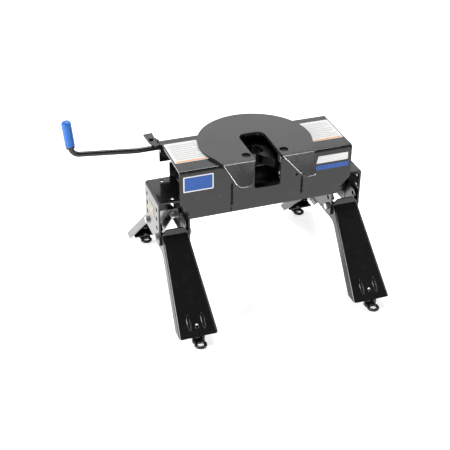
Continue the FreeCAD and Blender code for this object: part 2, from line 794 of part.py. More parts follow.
def make_jaw(label, side):
    """Half of the clamp that closes round the king pin; its tail is at the cab end."""
    body = new_body(label)
    low = dim.jaw_bottom
    top = dim.jaw_top
    seat_y = dim.king_pin_y
    outline = [
        (68, -92), (43, -92), (37, -62), (10, -34), (2.5, -12), (2.5, 50), (11, 78), (37, 78),
        (60, 38), (62, -20), (76, -64), (76, -84)]
    slab(body, "Pad", "XY_Plane", low, top, [(side * x, y) for x, y in outline])
    soften(body, "Fillet", 8, lambda edge: along(edge, "z")
           and (edge.BoundBox.YMin > 70 or edge.BoundBox.YMin < -80))
    slab(body, "Pocket", "XY_Plane", low - 1, top + 1,
         circle(0, seat_y, dim.king_pin_radius + dim.jaw_grip_gap))
    slab(body, "Pocket", "XY_Plane", low - 1, top + 1,
         circle(side * dim.jaw_pivot_x, -dim.jaw_pivot_y, dim.jaw_pin_radius + dim.running_gap))
    slab(body, "Pocket", "XY_Plane", low - 1, top + 1,
         circle(side * dim.tail_pin_x, dim.tail_pin_y, dim.tail_pin_radius + 0.05))
    return body


def make_jaw_fittings():
    spacers = new_body("jaw_spacers")
    spacers.AllowCompound = True
    gaps = ((dim.cage_bottom + 6, dim.jaw_bottom - 0.3),
            (dim.jaw_top + 0.3, dim.head_top - dim.head_wall - 0.05))
    for side, name in ((-1, "left"), (1, "right")):
        x = side * dim.jaw_pivot_x
        y = -dim.jaw_pivot_y
        pin = cylinder_body(f"{name}_jaw_pin", "XY_Plane", [
            (dim.cage_bottom - 9, dim.head_top + 4, x, y, dim.jaw_pin_radius)])
        soften(pin, "Chamfer", 1.2, lambda edge: True)
        for low, high in gaps:
            slab(spacers, "Pad", "XY_Plane", low, high,
                 circle(x, y, dim.jaw_pin_radius + 3.5), circle(x, y, dim.jaw_pin_radius + 0.05))
        cylinder_body(f"{name}_tail_pin", "XY_Plane", [
            (dim.lock_plate_bottom + 1, dim.jaw_top, side * dim.tail_pin_x, dim.tail_pin_y,
             dim.tail_pin_radius)])
    clips = new_body("jaw_pin_clips")
    clips.AllowCompound = True
    for side in (-1, 1):
        x = side * dim.jaw_pivot_x
        y = -dim.jaw_pivot_y
        slab(clips, "Pad", "XY_Plane", dim.cage_bottom - 5, dim.cage_bottom - 3,
             circle(x, y, dim.jaw_pin_radius + 1.8), circle(x, y, dim.jaw_pin_radius + 0.05))


# ---- handle -------------------------------------------------------------------------------


def make_lock_plate():
    """The plate that the handle slides; each jaw's tail pin runs in one of its slots."""
    body = new_body("lock_plate")
    low = dim.lock_plate_bottom
    top = dim.lock_plate_top
    slab(body, "Pad", "XY_Plane", low, top,
         rectangle(-dim.lock_plate_left_x, dim.lock_plate_right_x,
                   dim.lock_plate_rear_y, dim.lock_plate_front_y))
    room = dim.tail_pin_radius + 0.8
    pin_x = dim.tail_pin_x
    pin_y = dim.tail_pin_y
    swing = dim.tail_pin_swing
    rise = dim.tail_pin_rise
    slots = [
        rectangle(-pin_x - room, -pin_x + dim.handle_travel - swing + room + 0.3,
                  pin_y - room, pin_y + room + rise),
        rectangle(pin_x - room, pin_x + dim.handle_travel + swing + room + 1,
                  pin_y - room, pin_y + room + rise),
    ]
    slab(body, "Pocket", "XY_Plane", low - 1, top + 1, *slots)
    soften(body, "Fillet", 6.3, lambda edge: along(edge, "z")
           and -60 < edge.BoundBox.XMin < 184 and 52 < edge.BoundBox.YMin < 84)
    soften(body, "Fillet", 8, lambda edge: along(edge, "z")
           and (edge.BoundBox.XMin < -79 or edge.BoundBox.XMin > 187))
    return body


def make_drop_link():
    """The block that joins the handle bar to the lock plate below it."""
    body = new_body("drop_link")
    slab(body, "Pad", "XY_Plane", dim.lock_plate_top, dim.bar_z + 8.8,
         rectangle(-dim.bar_inner_x - 14, -dim.bar_inner_x, dim.bar_y - 12, dim.bar_y + 9.4))
    soften(body, "Fillet", 2.5, lambda edge: along(edge, "x") and edge.BoundBox.ZMin > 400)
    slab(body, "Pocket", "YZ_Plane", -dim.bar_inner_x - 15, -dim.bar_inner_x - 1,
         circle(dim.bar_y, dim.bar_z, dim.bar_radius + 0.05))
    return body


def handle_path():
    """The bar's centre line: along the head, a slight rise, and a bend up into the grip."""
    y = dim.bar_y.number
    z = dim.bar_z.number
    corner = V(-dim.bar_corner_x.number, y, z + dim.bar_rise.number)
    knee = V(-dim.bar_bend_x.number, y, z)
    start = V(-dim.bar_inner_x.number - 1.1, y, z)
    finish = V(corner.x - 9, y, dim.grip_top.number - 6)
    return [start, knee, corner, finish]


def rounded_wire(points, radii):
    """Straight runs through the points, joined by tangent arcs of the given radii."""
    edges = []
    here = points[0]
    for before, corner, after, radius in zip(points, points[1:], points[2:], radii):
        back = (before - corner).normalize()
        ahead = (after - corner).normalize()
        half = back.getAngle(ahead) / 2
        cut = radius / math.tan(half)
        bisector = (back + ahead).normalize()
        centre = corner + bisector * (radius / math.sin(half))
        enter = corner + back * cut
        leave = corner + ahead * cut
        middle = centre - bisector * radius
        edges.append(Part.LineSegment(here, enter).toShape())
        edges.append(Part.Arc(enter, middle, leave).toShape())
        here = leave
    edges.append(Part.LineSegment(here, points[-1]).toShape())
    return Part.Wire(edges)


def make_handle_bar():
    """A bent round bar, swept along the handle's path."""
    path = handle_path()
    wire = rounded_wire(path, (120, dim.bar_bend_radius.number))
    ring = Part.Circle(path[0], V(1, 0, 0), dim.bar_radius.number)
    profile = Part.Wire([ring.toShape()])
    bar = doc.addObject("Part::Feature", "handle_bar")
    bar.Shape = wire.makePipeShell([profile], True, False)
    expected = math.pi * dim.bar_radius.number ** 2 * wire.Length
    if abs(bar.Shape.Volume - expected) > 0.01 * expected:
        raise RuntimeError("the handle bar's sweep has the wrong volume")
    return keep(bar, "handle_bar")


def grip_shape(bottom, top, radius, hole):
    """A round sleeve along the bar's last run, between two heights."""
    corner, finish = handle_path()[2:]
    run = (finish - corner).normalize()
    start = corner + run * ((bottom - corner.z) / run.z)
    length = (top - bottom) / run.z
    sleeve = Part.makeCylinder(radius, length, start, run)
    if hole > 0:
        sleeve = sleeve.cut(Part.makeCylinder(hole, length - 5, start, run))
    return sleeve


def make_grip():
    grip = doc.addObject("Part::Feature", "grip")
    bottom = dim.grip_bottom.number
    shape = grip_shape(bottom, dim.grip_top.number, dim.grip_radius.number,
                       dim.bar_radius.number + 0.1)
    rim = [edge for edge in shape.Edges if edge.BoundBox.ZMin > dim.grip_top.number - 8]
    outer = max(rim, key=lambda edge: edge.Length)
    grip.Shape = shape.makeFillet(8, [outer])
    keep(grip, "grip")
    collar = doc.addObject("Part::Feature", "grip_collar")
    shape = grip_shape(bottom - 8, bottom - 0.5, dim.grip_radius.number - 1.5, 0)
    core = grip_shape(bottom - 12, bottom + 2, dim.bar_radius.number + 0.1, 0)
    collar.Shape = shape.cut(core)
    keep(collar, "grip_collar")


def make_return_spring():
    """A closed-end compression spring round the bar, inside the head's left end."""
    start = dim.spring_outer_x.number
    finish = dim.spring_inner_x.number
    radius = dim.spring_radius.number
    wire = dim.spring_wire.number
    turns = dim.spring_turns.number
    helix = Part.makeHelix((start - finish) / turns, start - finish, radius)
    profile = Part.Wire([Part.Circle(V(radius, 0, 0), V(0, 1, 0), wire).toShape()])
    coil = Part.Wire(helix.Edges).makePipeShell([profile], True, True)
    spring = doc.addObject("Part::Feature", "return_spring")
    spring.Shape = coil
    spring.Placement = FreeCAD.Placement(
        V(-start, dim.bar_y.number, dim.bar_z.number), FreeCAD.Rotation(V(0, 1, 0), 90))
    return keep(spring, "return_spring")


def ring_on_bar(label, low, high, radius):
    body = new_body(label)
    slab(body, "Pad", "YZ_Plane", low, high, circle(dim.bar_y, dim.bar_z, radius),
         circle(dim.bar_y, dim.bar_z, dim.bar_radius + 0.05))
    return body


def make_handle_bracket():
    """The plate on the head's left end that guides the bar and carries the latch."""
    body = new_body("handle_bracket")
    face = dim.head_half_width
    outer = face + dim.bracket_thickness
    slab(body, "Pad", "YZ_Plane", -outer, -face - 0.05, [
        (66, 396), (dim.bar_y + 19, 396), (dim.bar_y + 19, 421), (66, 421)])
    slab(body, "Pocket", "YZ_Plane", -face - 6, -face + 1,
         circle(dim.bar_y, dim.bar_z, dim.bar_radius + dim.running_gap))
    slab(body, "Pocket", "YZ_Plane", -face - 6, -face + 1,
         rectangle(dim.bar_y - 8.08, dim.bar_y + 8.08, 390, dim.bar_z))
    slab(body, "Pad", "XY_Plane", dim.latch_bottom - 5, dim.latch_bottom - 0.4,
         [(-face - 27, 105), (-outer, 99), (-outer, 130), (-face - 27, 130)])
    slab(body, "Pad", "YZ_Plane", -outer, -face - 0.05,
         rectangle(104, 130, 400, dim.latch_bottom - 0.4))
    slab(body, "Pocket", "XY_Plane", dim.latch_bottom - 6, dim.latch_bottom + 1,
         circle(-dim.latch_bolt_x, dim.latch_bolt_y, dim.latch_bolt_radius + 0.05))
    return body


def make_latch():
    """The flat secondary latch that turns on an upright bolt and lies over the bar."""
    body = new_body("secondary_latch")
    low = dim.latch_bottom
    slab(body, "Pad", "XY_Plane", low, low + dim.latch_thickness, [
        (-276, 72), (-266, 74), (-265.5, 90), (-264, 156), (-292, 152), (-289, 100), (-284, 84)])
    soften(body, "Fillet", 3, lambda edge: along(edge, "z"))
    slab(body, "Pocket", "XY_Plane", low - 1, low + dim.latch_thickness + 1,
         circle(-dim.latch_bolt_x, dim.latch_bolt_y, dim.latch_bolt_radius + 0.08))
    bolt_x = -dim.latch_bolt_x
    under_head = low + dim.latch_thickness + 0.5
    bolt = cylinder_body("latch_bolt", "XY_Plane", [
        (low - 9, under_head, bolt_x, dim.latch_bolt_y, dim.latch_bolt_radius),
        (under_head, under_head + 4.5, bolt_x, dim.latch_bolt_y, dim.latch_bolt_radius + 2.5)])
    soften(bolt, "Chamfer", 0.7, lambda edge: edge.BoundBox.ZMin > low.number + 8)


def build():
    for side, name in ((-1, "left"), (1, "right")):
        make_upright(f"{name}_upright", side)
        make_bushing(f"{name}_bushing", side)
        make_trunnion(f"{name}_trunnion", side)
        make_jaw(f"{name}_jaw", side)
        for end, place_name in ((-1, "rear"), (1, "front")):
            make_leg(f"{place_name}_{name}_leg", side, end)
            make_foot_tab(f"{place_name}_{name}_foot_tab", side, end)
            make_pull_pin(f"{place_name}_{name}_pull_pin", side, end)
    make_leg_bolts()
    make_leg_nuts()
    make_pivot_beam()
    make_trunnion_clips()
    make_roll_parts()
    make_head_shell()
    make_throat_plate()
    make_brace("rear_brace", -1)
    make_brace("front_brace", 1)
    make_skid_plate()
    make_jaw_cage()
    make_jaw_fittings()
    make_lock_plate()
    make_drop_link()
    make_handle_bar()
    make_grip()
    make_return_spring()
    ring_on_bar("spring_collar", -91, -84, 9.8)
    ring_on_bar("spring_washer", -258.9, -256.6, 9.8)
    make_handle_bracket()
    make_latch()


def check_and_export():
    for item in doc.Objects:
        if "Invalid" in item.State or "Error" in item.State:
            raise RuntimeError(f"{item.Label} did not recompute: {item.State}")
    os.makedirs("parts", exist_ok=True)
    for item in PARTS:
        if item.Shape.isNull() or not item.Shape.isValid():
            raise RuntimeError(f"{item.Label} has a broken shape")
        item.Shape.exportStep(os.path.join("parts", f"{item.Label}.step"))
        print(item.Label, len(item.Shape.Solids), round(item.Shape.Volume / 1000, 1))


build()
doc.recompute()
check_and_export()
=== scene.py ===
import json
import math

import bmesh
import bpy
from mathutils import Matrix, Vector


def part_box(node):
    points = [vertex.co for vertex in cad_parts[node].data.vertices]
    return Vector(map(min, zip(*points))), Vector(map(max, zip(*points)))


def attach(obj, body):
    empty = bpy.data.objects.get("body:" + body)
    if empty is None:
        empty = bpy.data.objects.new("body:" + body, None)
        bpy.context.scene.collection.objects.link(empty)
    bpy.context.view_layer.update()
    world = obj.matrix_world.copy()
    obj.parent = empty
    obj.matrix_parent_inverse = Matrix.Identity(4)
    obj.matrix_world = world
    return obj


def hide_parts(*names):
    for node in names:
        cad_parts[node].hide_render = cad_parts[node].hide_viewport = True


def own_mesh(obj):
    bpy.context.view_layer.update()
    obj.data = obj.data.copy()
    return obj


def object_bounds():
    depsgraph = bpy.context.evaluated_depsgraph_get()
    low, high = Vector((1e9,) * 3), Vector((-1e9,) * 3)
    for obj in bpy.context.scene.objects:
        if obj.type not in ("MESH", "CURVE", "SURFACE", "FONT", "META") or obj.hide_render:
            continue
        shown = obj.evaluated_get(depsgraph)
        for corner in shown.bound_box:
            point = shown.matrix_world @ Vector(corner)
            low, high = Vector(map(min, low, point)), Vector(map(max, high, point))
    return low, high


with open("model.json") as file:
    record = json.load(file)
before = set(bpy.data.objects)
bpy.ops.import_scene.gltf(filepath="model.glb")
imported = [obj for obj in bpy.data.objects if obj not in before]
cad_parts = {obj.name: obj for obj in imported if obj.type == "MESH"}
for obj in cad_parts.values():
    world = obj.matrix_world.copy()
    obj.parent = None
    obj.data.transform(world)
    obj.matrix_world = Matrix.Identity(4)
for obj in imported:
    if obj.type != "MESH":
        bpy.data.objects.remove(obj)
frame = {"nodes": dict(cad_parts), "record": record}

CAD_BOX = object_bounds()
NODES = frame["nodes"]


# ---- material building blocks -------------------------------------------------------------


class Shader:
    """A node-based material with a few short ways to add its nodes."""

    def __init__(self, name):
        self.material = bpy.data.materials.new(name)
        self.material.use_nodes = True
        self.tree = self.material.node_tree
        self.bsdf = self.tree.nodes["Principled BSDF"]
        coordinates = self.tree.nodes.new("ShaderNodeTexCoord")
        self.place = coordinates.outputs["Object"]

    def link(self, source, target):
        self.tree.links.new(source, target)

    def noise(self, scale, detail=4.0, roughness=0.6, stretch=None):
        node = self.tree.nodes.new("ShaderNodeTexNoise")
        node.inputs["Scale"].default_value = scale
        node.inputs["Detail"].default_value = detail
        node.inputs["Roughness"].default_value = roughness
        source = self.place
        if stretch:
            mapping = self.tree.nodes.new("ShaderNodeMapping")
            mapping.inputs["Scale"].default_value = stretch
            self.link(self.place, mapping.inputs["Vector"])
            source = mapping.outputs["Vector"]
        self.link(source, node.inputs["Vector"])
        return node.outputs["Fac"]

    def ramp(self, source, stops):
        node = self.tree.nodes.new("ShaderNodeValToRGB")
        elements = node.color_ramp.elements
        while len(elements) < len(stops):
            elements.new(0.5)
        for element, (position, color) in zip(elements, stops):
            element.position = position
            element.color = (*color, 1)
        self.link(source, node.inputs["Fac"])
        return node.outputs["Color"]

    def scaled(self, source, low, high, out_low, out_high):
        node = self.tree.nodes.new("ShaderNodeMapRange")
        limits = {"From Min": low, "From Max": high, "To Min": out_low, "To Max": out_high}
        for key, value in limits.items():
            node.inputs[key].default_value = value
        self.link(source, node.inputs["Value"])
        return node.outputs["Result"]

    def mixed(self, factor, first, second):
        node = self.tree.nodes.new("ShaderNodeMix")
        node.data_type = "RGBA"
        self.link(factor, node.inputs["Factor"])
        for socket, value in ((node.inputs["A"], first), (node.inputs["B"], second)):
            if isinstance(value, tuple):
                socket.default_value = (*value, 1)
            else:
                self.link(value, socket)
        return node.outputs["Result"]

    def product(self, first, second):
        node = self.tree.nodes.new("ShaderNodeMath")
        node.operation = "MULTIPLY"
        self.link(first, node.inputs[0])
        self.link(second, node.inputs[1])
        return node.outputs["Value"]

    def edges(self, low, high):
        """Bright along convex edges, from the surface's pointiness."""
        geometry = self.tree.nodes.new("ShaderNodeNewGeometry")
        return self.scaled(geometry.outputs["Pointiness"], low, high, 0.0, 1.0)

    def bump(self, height, strength, distance, base=None):
        node = self.tree.nodes.new("ShaderNodeBump")
        node.inputs["Strength"].default_value = strength
        node.inputs["Distance"].default_value = distance
        self.link(height, node.inputs["Height"])
        if base:
            self.link(base, node.inputs["Normal"])
        return node.outputs["Normal"]

    def color_from(self, output):
        self.link(output, self.bsdf.inputs["Base Color"])

    def rough_from(self, noise, low, high, smooth, rough):
        """Roughness that runs from smooth to rough as the noise goes from low to high."""
        self.link(self.scaled(noise, low, high, smooth, rough), self.bsdf.inputs["Roughness"])

    def normal_from(self, output):
        self.link(output, self.bsdf.inputs["Normal"])

    def set(self, **values):
        for key, value in values.items():
            self.bsdf.inputs[key.replace("_", " ")].default_value = value


def gloss_black(name, dark, light, rough):
    """Glossy black powder coat: a faint cloud of tone, orange peel, and convex edges lighter in
    patches, partly worn paint and partly a painted edge highlight.
    """
    shader = Shader(name)
    cloud = shader.noise(9.0, 5.0)
    color = shader.ramp(cloud, [(0.35, dark), (0.72, light)])
    patches = shader.scaled(shader.noise(55.0, 3.0), 0.5, 0.7, 0.0, 0.8)
    # convex edges lighter in patches: worn paint plus a painted edge highlight
    wear_and_edge_highlight = shader.product(shader.edges(0.56, 0.66), patches)
    color = shader.mixed(wear_and_edge_highlight, color, (0.025, 0.025, 0.026))
    shader.color_from(color)
    smear = shader.noise(14.0, 3.0, 0.5)
    shader.rough_from(smear, 0.3, 0.75, rough[0], rough[1])
    peel = shader.bump(shader.noise(420.0, 2.0), 0.07, 0.0004)
    wave = shader.bump(shader.noise(12.0, 1.0), 0.03, 0.003, peel)
    shader.normal_from(wave)
    shader.set(Specular_IOR_Level=0.5)
    return shader.material


def zinc(name, tint=(0.60, 0.60, 0.59)):
    """Bright zinc plate with a fine mottle and darker tarnish in patches."""
    shader = Shader(name)
    dull = tuple(channel * 0.62 for channel in tint)
    color = shader.ramp(shader.noise(120.0, 5.0), [(0.30, dull), (0.62, tint)])
    spots = shader.scaled(shader.noise(700.0, 2.0), 0.66, 0.74, 0.0, 0.5)
    color = shader.mixed(spots, color, (0.22, 0.21, 0.19))
    shader.color_from(color)
    shader.rough_from(shader.noise(200.0, 3.0), 0.3, 0.7, 0.22, 0.42)
    shader.normal_from(shader.bump(shader.noise(900.0, 2.0), 0.15, 0.0003))
    shader.set(Metallic=1.0)
    return shader.material


def bare_steel(name):
    """Machined steel with a film of oil and fine brush lines, its colour kept near-black as painted
    shade for the parts in the dark throat, and its convex edges lighter as a painted highlight.
    """
    shader = Shader(name)
    lines = shader.noise(60.0, 4.0, 0.6, (1.0, 22.0, 1.0))
    # near-black colour: painted shade for the jaws deep in the throat
    color = shader.ramp(lines, [(0.3, (0.006, 0.006, 0.006)), (0.7, (0.018, 0.018, 0.017))])
    # lighter convex edges: a painted highlight
    painted_edge_highlight = shader.edges(0.54, 0.64)
    color = shader.mixed(painted_edge_highlight, color, (0.06, 0.058, 0.056))
    shader.color_from(color)
    shader.rough_from(shader.noise(35.0, 5.0), 0.3, 0.7, 0.25, 0.48)
    shader.normal_from(shader.bump(lines, 0.16, 0.0004))
    shader.set(Metallic=1.0)
    return shader.material


def blue_vinyl(name):
    """Dipped blue vinyl: slightly soft gloss with small scuffs."""
    shader = Shader(name)
    color = shader.ramp(shader.noise(70.0, 4.0),
                        [(0.3, (0.002, 0.085, 0.34)), (0.7, (0.003, 0.125, 0.48))])
    scuff = shader.scaled(shader.noise(320.0, 3.0, 0.7, (1.0, 1.0, 0.3)), 0.64, 0.72, 0.0, 0.35)
    color = shader.mixed(scuff, color, (0.04, 0.22, 0.60))
    shader.color_from(color)
    shader.rough_from(shader.noise(90.0, 4.0), 0.3, 0.7, 0.26, 0.42)
    shader.normal_from(shader.bump(shader.noise(260.0, 3.0), 0.14, 0.0006))
    return shader.material


def black_plastic(name):
    shader = Shader(name)
    color = shader.ramp(shader.noise(150.0, 4.0),
                        [(0.3, (0.010, 0.010, 0.010)), (0.7, (0.022, 0.022, 0.022))])
    shader.color_from(color)
    shader.rough_from(shader.noise(60.0, 4.0), 0.3, 0.7, 0.42, 0.60)
    shader.normal_from(shader.bump(shader.noise(800.0, 2.0), 0.2, 0.0003))
    return shader.material


def printed_film(name, color, shade):
    """A printed adhesive label: an even ink with faint mottling, creases and a low gloss."""
    shader = Shader(name)
    ink = shader.ramp(shader.noise(230.0, 4.0), [(0.3, shade), (0.62, color)])
    shader.color_from(ink)
    shader.rough_from(shader.noise(80.0, 3.0), 0.3, 0.7, 0.30, 0.48)
    shader.normal_from(shader.bump(shader.noise(45.0, 3.0), 0.10, 0.0006))
    return shader.material


def weld_bead(name):
    shader = Shader(name)
    color = shader.ramp(shader.noise(90.0, 5.0),
                        [(0.3, (0.0012, 0.0012, 0.0013)), (0.7, (0.004, 0.004, 0.0042))])
    shader.color_from(color)
    shader.rough_from(shader.noise(200.0, 4.0), 0.3, 0.7, 0.5, 0.7)
    shader.normal_from(shader.bump(shader.noise(500.0, 3.0), 0.3, 0.0006))
    shader.set(Specular_IOR_Level=0.15)
    return shader.material


PAINT = gloss_black("gloss_black_coat",
                    (0.0050, 0.0050, 0.0053), (0.0075, 0.0075, 0.0080), (0.12, 0.19))
PLATE_PAINT = gloss_black("skid_plate_coat",
                          (0.013, 0.013, 0.0135), (0.018, 0.018, 0.0185), (0.20, 0.28))
ZINC = zinc("zinc_plate")
SPRING = zinc("spring_wire_zinc", (0.66, 0.66, 0.65))
STEEL = bare_steel("machined_steel")
VINYL = blue_vinyl("blue_vinyl")
PLASTIC = black_plastic("black_moulding")
WHITE_FILM = printed_film("label_white", (0.56, 0.56, 0.55), (0.48, 0.48, 0.47))
FRAME_FILM = printed_film("decal_white", (0.78, 0.78, 0.77), (0.68, 0.68, 0.67))
GREY_INK = printed_film("label_grey_ink", (0.40, 0.40, 0.41), (0.33, 0.33, 0.34))
ORANGE_FILM = printed_film("label_orange", (0.60, 0.25, 0.04), (0.52, 0.20, 0.03))
BLUE_FILM = printed_film("decal_blue", (0.001, 0.080, 0.36), (0.001, 0.062, 0.30))
CREAM_FILM = printed_film("label_cream", (0.26, 0.24, 0.15), (0.19, 0.17, 0.11))
BAR_PAINT = gloss_black("handle_bar_coat",
                        (0.007, 0.007, 0.007), (0.010, 0.010, 0.010), (0.16, 0.22))
WELD = weld_bead("weld_bead_coat")
# painted highlight: pale steel for the strips on the ear edges that catch the light
EAR_HIGHLIGHT_STEEL = zinc("ear_highlight_steel", (0.80, 0.80, 0.79))

SLOT_MATERIAL = {
    "black_paint": PAINT,
    "zinc_plate": ZINC,
    "bare_steel": STEEL,
    "blue_grip": VINYL,
    "black_collar": PLASTIC,
}
SPECIAL_MATERIAL = {"skid_plate": PLATE_PAINT, "return_spring": SPRING, "handle_bar": BAR_PAINT}
slot_of = {part["node"]: part["material_slot"] for part in frame["record"]["subparts"]}


def paint_nodes():
    """Every CAD node gets the material of its slot, or a special one of its own."""
    for name, node in NODES.items():
        material = SPECIAL_MATERIAL.get(name, SLOT_MATERIAL[slot_of[name]])
        if not node.material_slots:
            node.data.materials.append(material)
        for slot in node.material_slots:
            slot.material = material


# ---- pieces -------------------------------------------------------------------------------


def add_object(name, mesh_maker, material, body):
    """A piece whose mesh the maker fills in; it rides the body."""
    mesh = bpy.data.meshes.new(name)
    build = bmesh.new()
    mesh_maker(build)
    bmesh.ops.recalc_face_normals(build, faces=build.faces)
    build.to_mesh(mesh)
    build.free()
    mesh.materials.append(material)
    piece = bpy.data.objects.new(name, mesh)
    bpy.context.collection.objects.link(piece)
    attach(piece, body)
    return piece


def rounded_outline(low, high, radius, steps=5):
    """Corner points of a rounded rectangle, anticlockwise."""
    left, right = low[0] + radius, high[0] - radius
    bottom, top = low[1] + radius, high[1] - radius
    points = []
    for cx, cy, start in ((right, bottom, -90), (right, top, 0), (left, top, 90), (left, bottom, 180)):
        for step in range(steps + 1):
            angle = math.radians(start + 90 * step / steps)
            points.append((cx + radius * math.cos(angle), cy + radius * math.sin(angle)))
    return points


def film(outline, to_world, thickness):
    """A thin sheet with the outline, lying on a surface."""
    def maker(build):
        back = [build.verts.new(to_world(u, v, 0.0)) for u, v in outline]
        front = [build.verts.new(to_world(u, v, thickness)) for u, v in outline]
        build.faces.new(back)
        build.faces.new(front)
        count = len(outline)
        for here in range(count):
            after = (here + 1) % count
            build.faces.new((back[here], back[after], front[after], front[here]))
    return maker


FILM_THICKNESS = 0.0004
PRINT_THICKNESS = 0.0002
FILM_GAP = 0.00015


def film_piece(name, outline, to_world, material, thickness=FILM_THICKNESS, body="head"):
    add_object(name, film(outline, to_world, thickness), material, body)


head_low, head_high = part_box("head_shell")
REAR_FACE = head_low[1]
TOP_FACE = head_high[2]


def on_rear(u, v, lift):
    """A point on the head's rear face, u across and v up."""
    return Vector((u, REAR_FACE - FILM_GAP - lift, v))


def on_top(u, v, lift):
    """A point on the wings' top, u across and v towards the cab."""
    return Vector((u, v, TOP_FACE + FILM_GAP + lift))


def millimetres(*points):
    return [tuple(value / 1000 for value in point) for point in points]


def make_decals():
    """Plain colour fields where the object has printed decals; nothing is lettered."""
    field = rounded_outline((-0.249, 0.354), (-0.161, 0.403), 0.003)
    film_piece("left_decal_field", field, on_rear, FRAME_FILM)
    inner = rounded_outline((-0.2455, 0.3575), (-0.1645, 0.3995), 0.002)
    raised = lambda u, v, lift: on_rear(u, v, lift + FILM_THICKNESS)
    film_piece("left_decal_panel", inner, raised, BLUE_FILM, PRINT_THICKNESS)
    bar = millimetres((139, 354), (250, 354), (250, 369), (142, 369))
    film_piece("right_decal_bar", bar, on_rear, BLUE_FILM)
    band = millimetres((149, 376), (247, 376), (247, 399), (154, 399))
    film_piece("right_decal_band", band, on_rear, FRAME_FILM)


def make_top_labels():
    """White labels on the wings, with grey bars and an orange stripe in place of wording."""
    rows, first_row_y, row_pitch = 8, -0.032, 0.0115
    bar_height, short_by = 0.0045, 0.014
    for name, low_x, high_x in (("left", -0.255, -0.157), ("right", 0.160, 0.255)):
        field = rounded_outline((low_x, -0.050), (high_x, 0.068), 0.004)
        film_piece(f"{name}_label_field", field, on_top, WHITE_FILM)
        stripe = rounded_outline((low_x + 0.004, -0.047), (high_x - 0.004, -0.041), 0.002)
        raised = lambda u, v, lift: on_top(u, v, lift + FILM_THICKNESS)
        film_piece(f"{name}_label_stripe", stripe, raised, ORANGE_FILM, PRINT_THICKNESS)
        for row in range(rows):
            y = first_row_y + row * row_pitch
            end_x = high_x - 0.010 - (short_by if row % 3 == 2 else 0.0)
            bar = rounded_outline((low_x + 0.009, y), (end_x, y + bar_height), 0.001, 2)
            film_piece(f"{name}_label_bar_{row + 1}", bar, raised, GREY_INK, PRINT_THICKNESS)


def round_strip(name, points, radius, body, material, swell=None, detail=2):
    """A round bar through the points, as a mesh piece that rides the body.

    swell is the share of the radius at each point, 1 when it isn't given.
    """
    curve = bpy.data.curves.new(name, "CURVE")
    curve.dimensions = "3D"
    curve.bevel_depth = radius
    curve.bevel_resolution = detail
    curve.use_fill_caps = True
    spline = curve.splines.new("POLY")
    spline.points.add(len(points) - 1)
    for step, point in enumerate(points):
        spline.points[step].co = (*point, 1)
        if swell:
            spline.points[step].radius = swell[step]
    source = bpy.data.objects.new(name + "_path", curve)
    bpy.context.collection.objects.link(source)
    bpy.context.view_layer.update()
    evaluated = source.evaluated_get(bpy.context.evaluated_depsgraph_get())
    mesh = bpy.data.meshes.new_from_object(evaluated)
    bpy.data.objects.remove(source)
    bpy.data.curves.remove(curve)
    mesh.name = name
    mesh.materials.clear()
    mesh.materials.append(material)
    for polygon in mesh.polygons:
        polygon.use_smooth = True
    piece = bpy.data.objects.new(name, mesh)
    bpy.context.collection.objects.link(piece)
    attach(piece, body)
    return piece


SPRING_WIRE = 0.00085
SPRING_TURNS = 17


def make_spring():
    """The return spring as a coil that the handle's collar squeezes against the head's left end."""
    low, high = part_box("return_spring")
    wire = SPRING_WIRE
    points_per_turn = 20
    middle_y = (low[1] + high[1]) / 2
    middle_z = (low[2] + high[2]) / 2
    radius = (high[1] - low[1]) / 2 - wire
    start, finish = low[0] + wire, high[0] - wire
    count = SPRING_TURNS * points_per_turn
    points = []
    for step in range(count + 1):
        angle = 2 * math.pi * step / points_per_turn
        x = start + (finish - start) * step / count
        y = middle_y + radius * math.cos(angle)
        z = middle_z + radius * math.sin(angle)
        points.append((x, y, z))
    coil = round_strip("return_spring_coil", points, wire, "head", SPRING,
                       detail=1)
    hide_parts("return_spring")
    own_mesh(coil)


def make_upright_label():
    """A plain cream label on the outer face of the left upright, below the pivot."""
    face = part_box("left_upright")[0][0]
    outline = rounded_outline((-0.020, 0.234), (0.036, 0.272), 0.003)
    on_face = lambda u, v, lift: Vector((face - FILM_GAP - lift, u, v))
    film_piece("upright_label", outline, on_face, CREAM_FILM, body="base")


BEAD_STEP = 0.0014


def bead(name, start, finish, radius, body):
    """A weld bead: a bar from start to finish whose radius ripples."""
    count = max(3, int((finish - start).length / BEAD_STEP))
    points = [start.lerp(finish, step / (count - 1)) for step in range(count)]
    swell = [1.0 + 0.16 * math.sin(step * 1.7) + 0.22 * math.sin(step * 0.53) for step in range(count)]
    round_strip(name, points, radius, body, WELD, swell=swell)


WELD_LOW, WELD_HIGH = 0.290, 0.358
WELD_RADIUS = 0.0032
WELD_OFFSET = 0.0005


def make_welds():
    """The upright beads between the throat plate and the skirts."""
    plate_low, plate_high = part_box("throat_plate")
    for name, x in (("left", plate_low[0] - WELD_OFFSET), ("right", plate_high[0] + WELD_OFFSET)):
        bottom, top = Vector((x, REAR_FACE, WELD_LOW)), Vector((x, REAR_FACE, WELD_HIGH))
        bead(f"{name}_throat_weld", bottom, top, WELD_RADIUS, "head")


EAR_EDGE_RADIUS = 0.0009


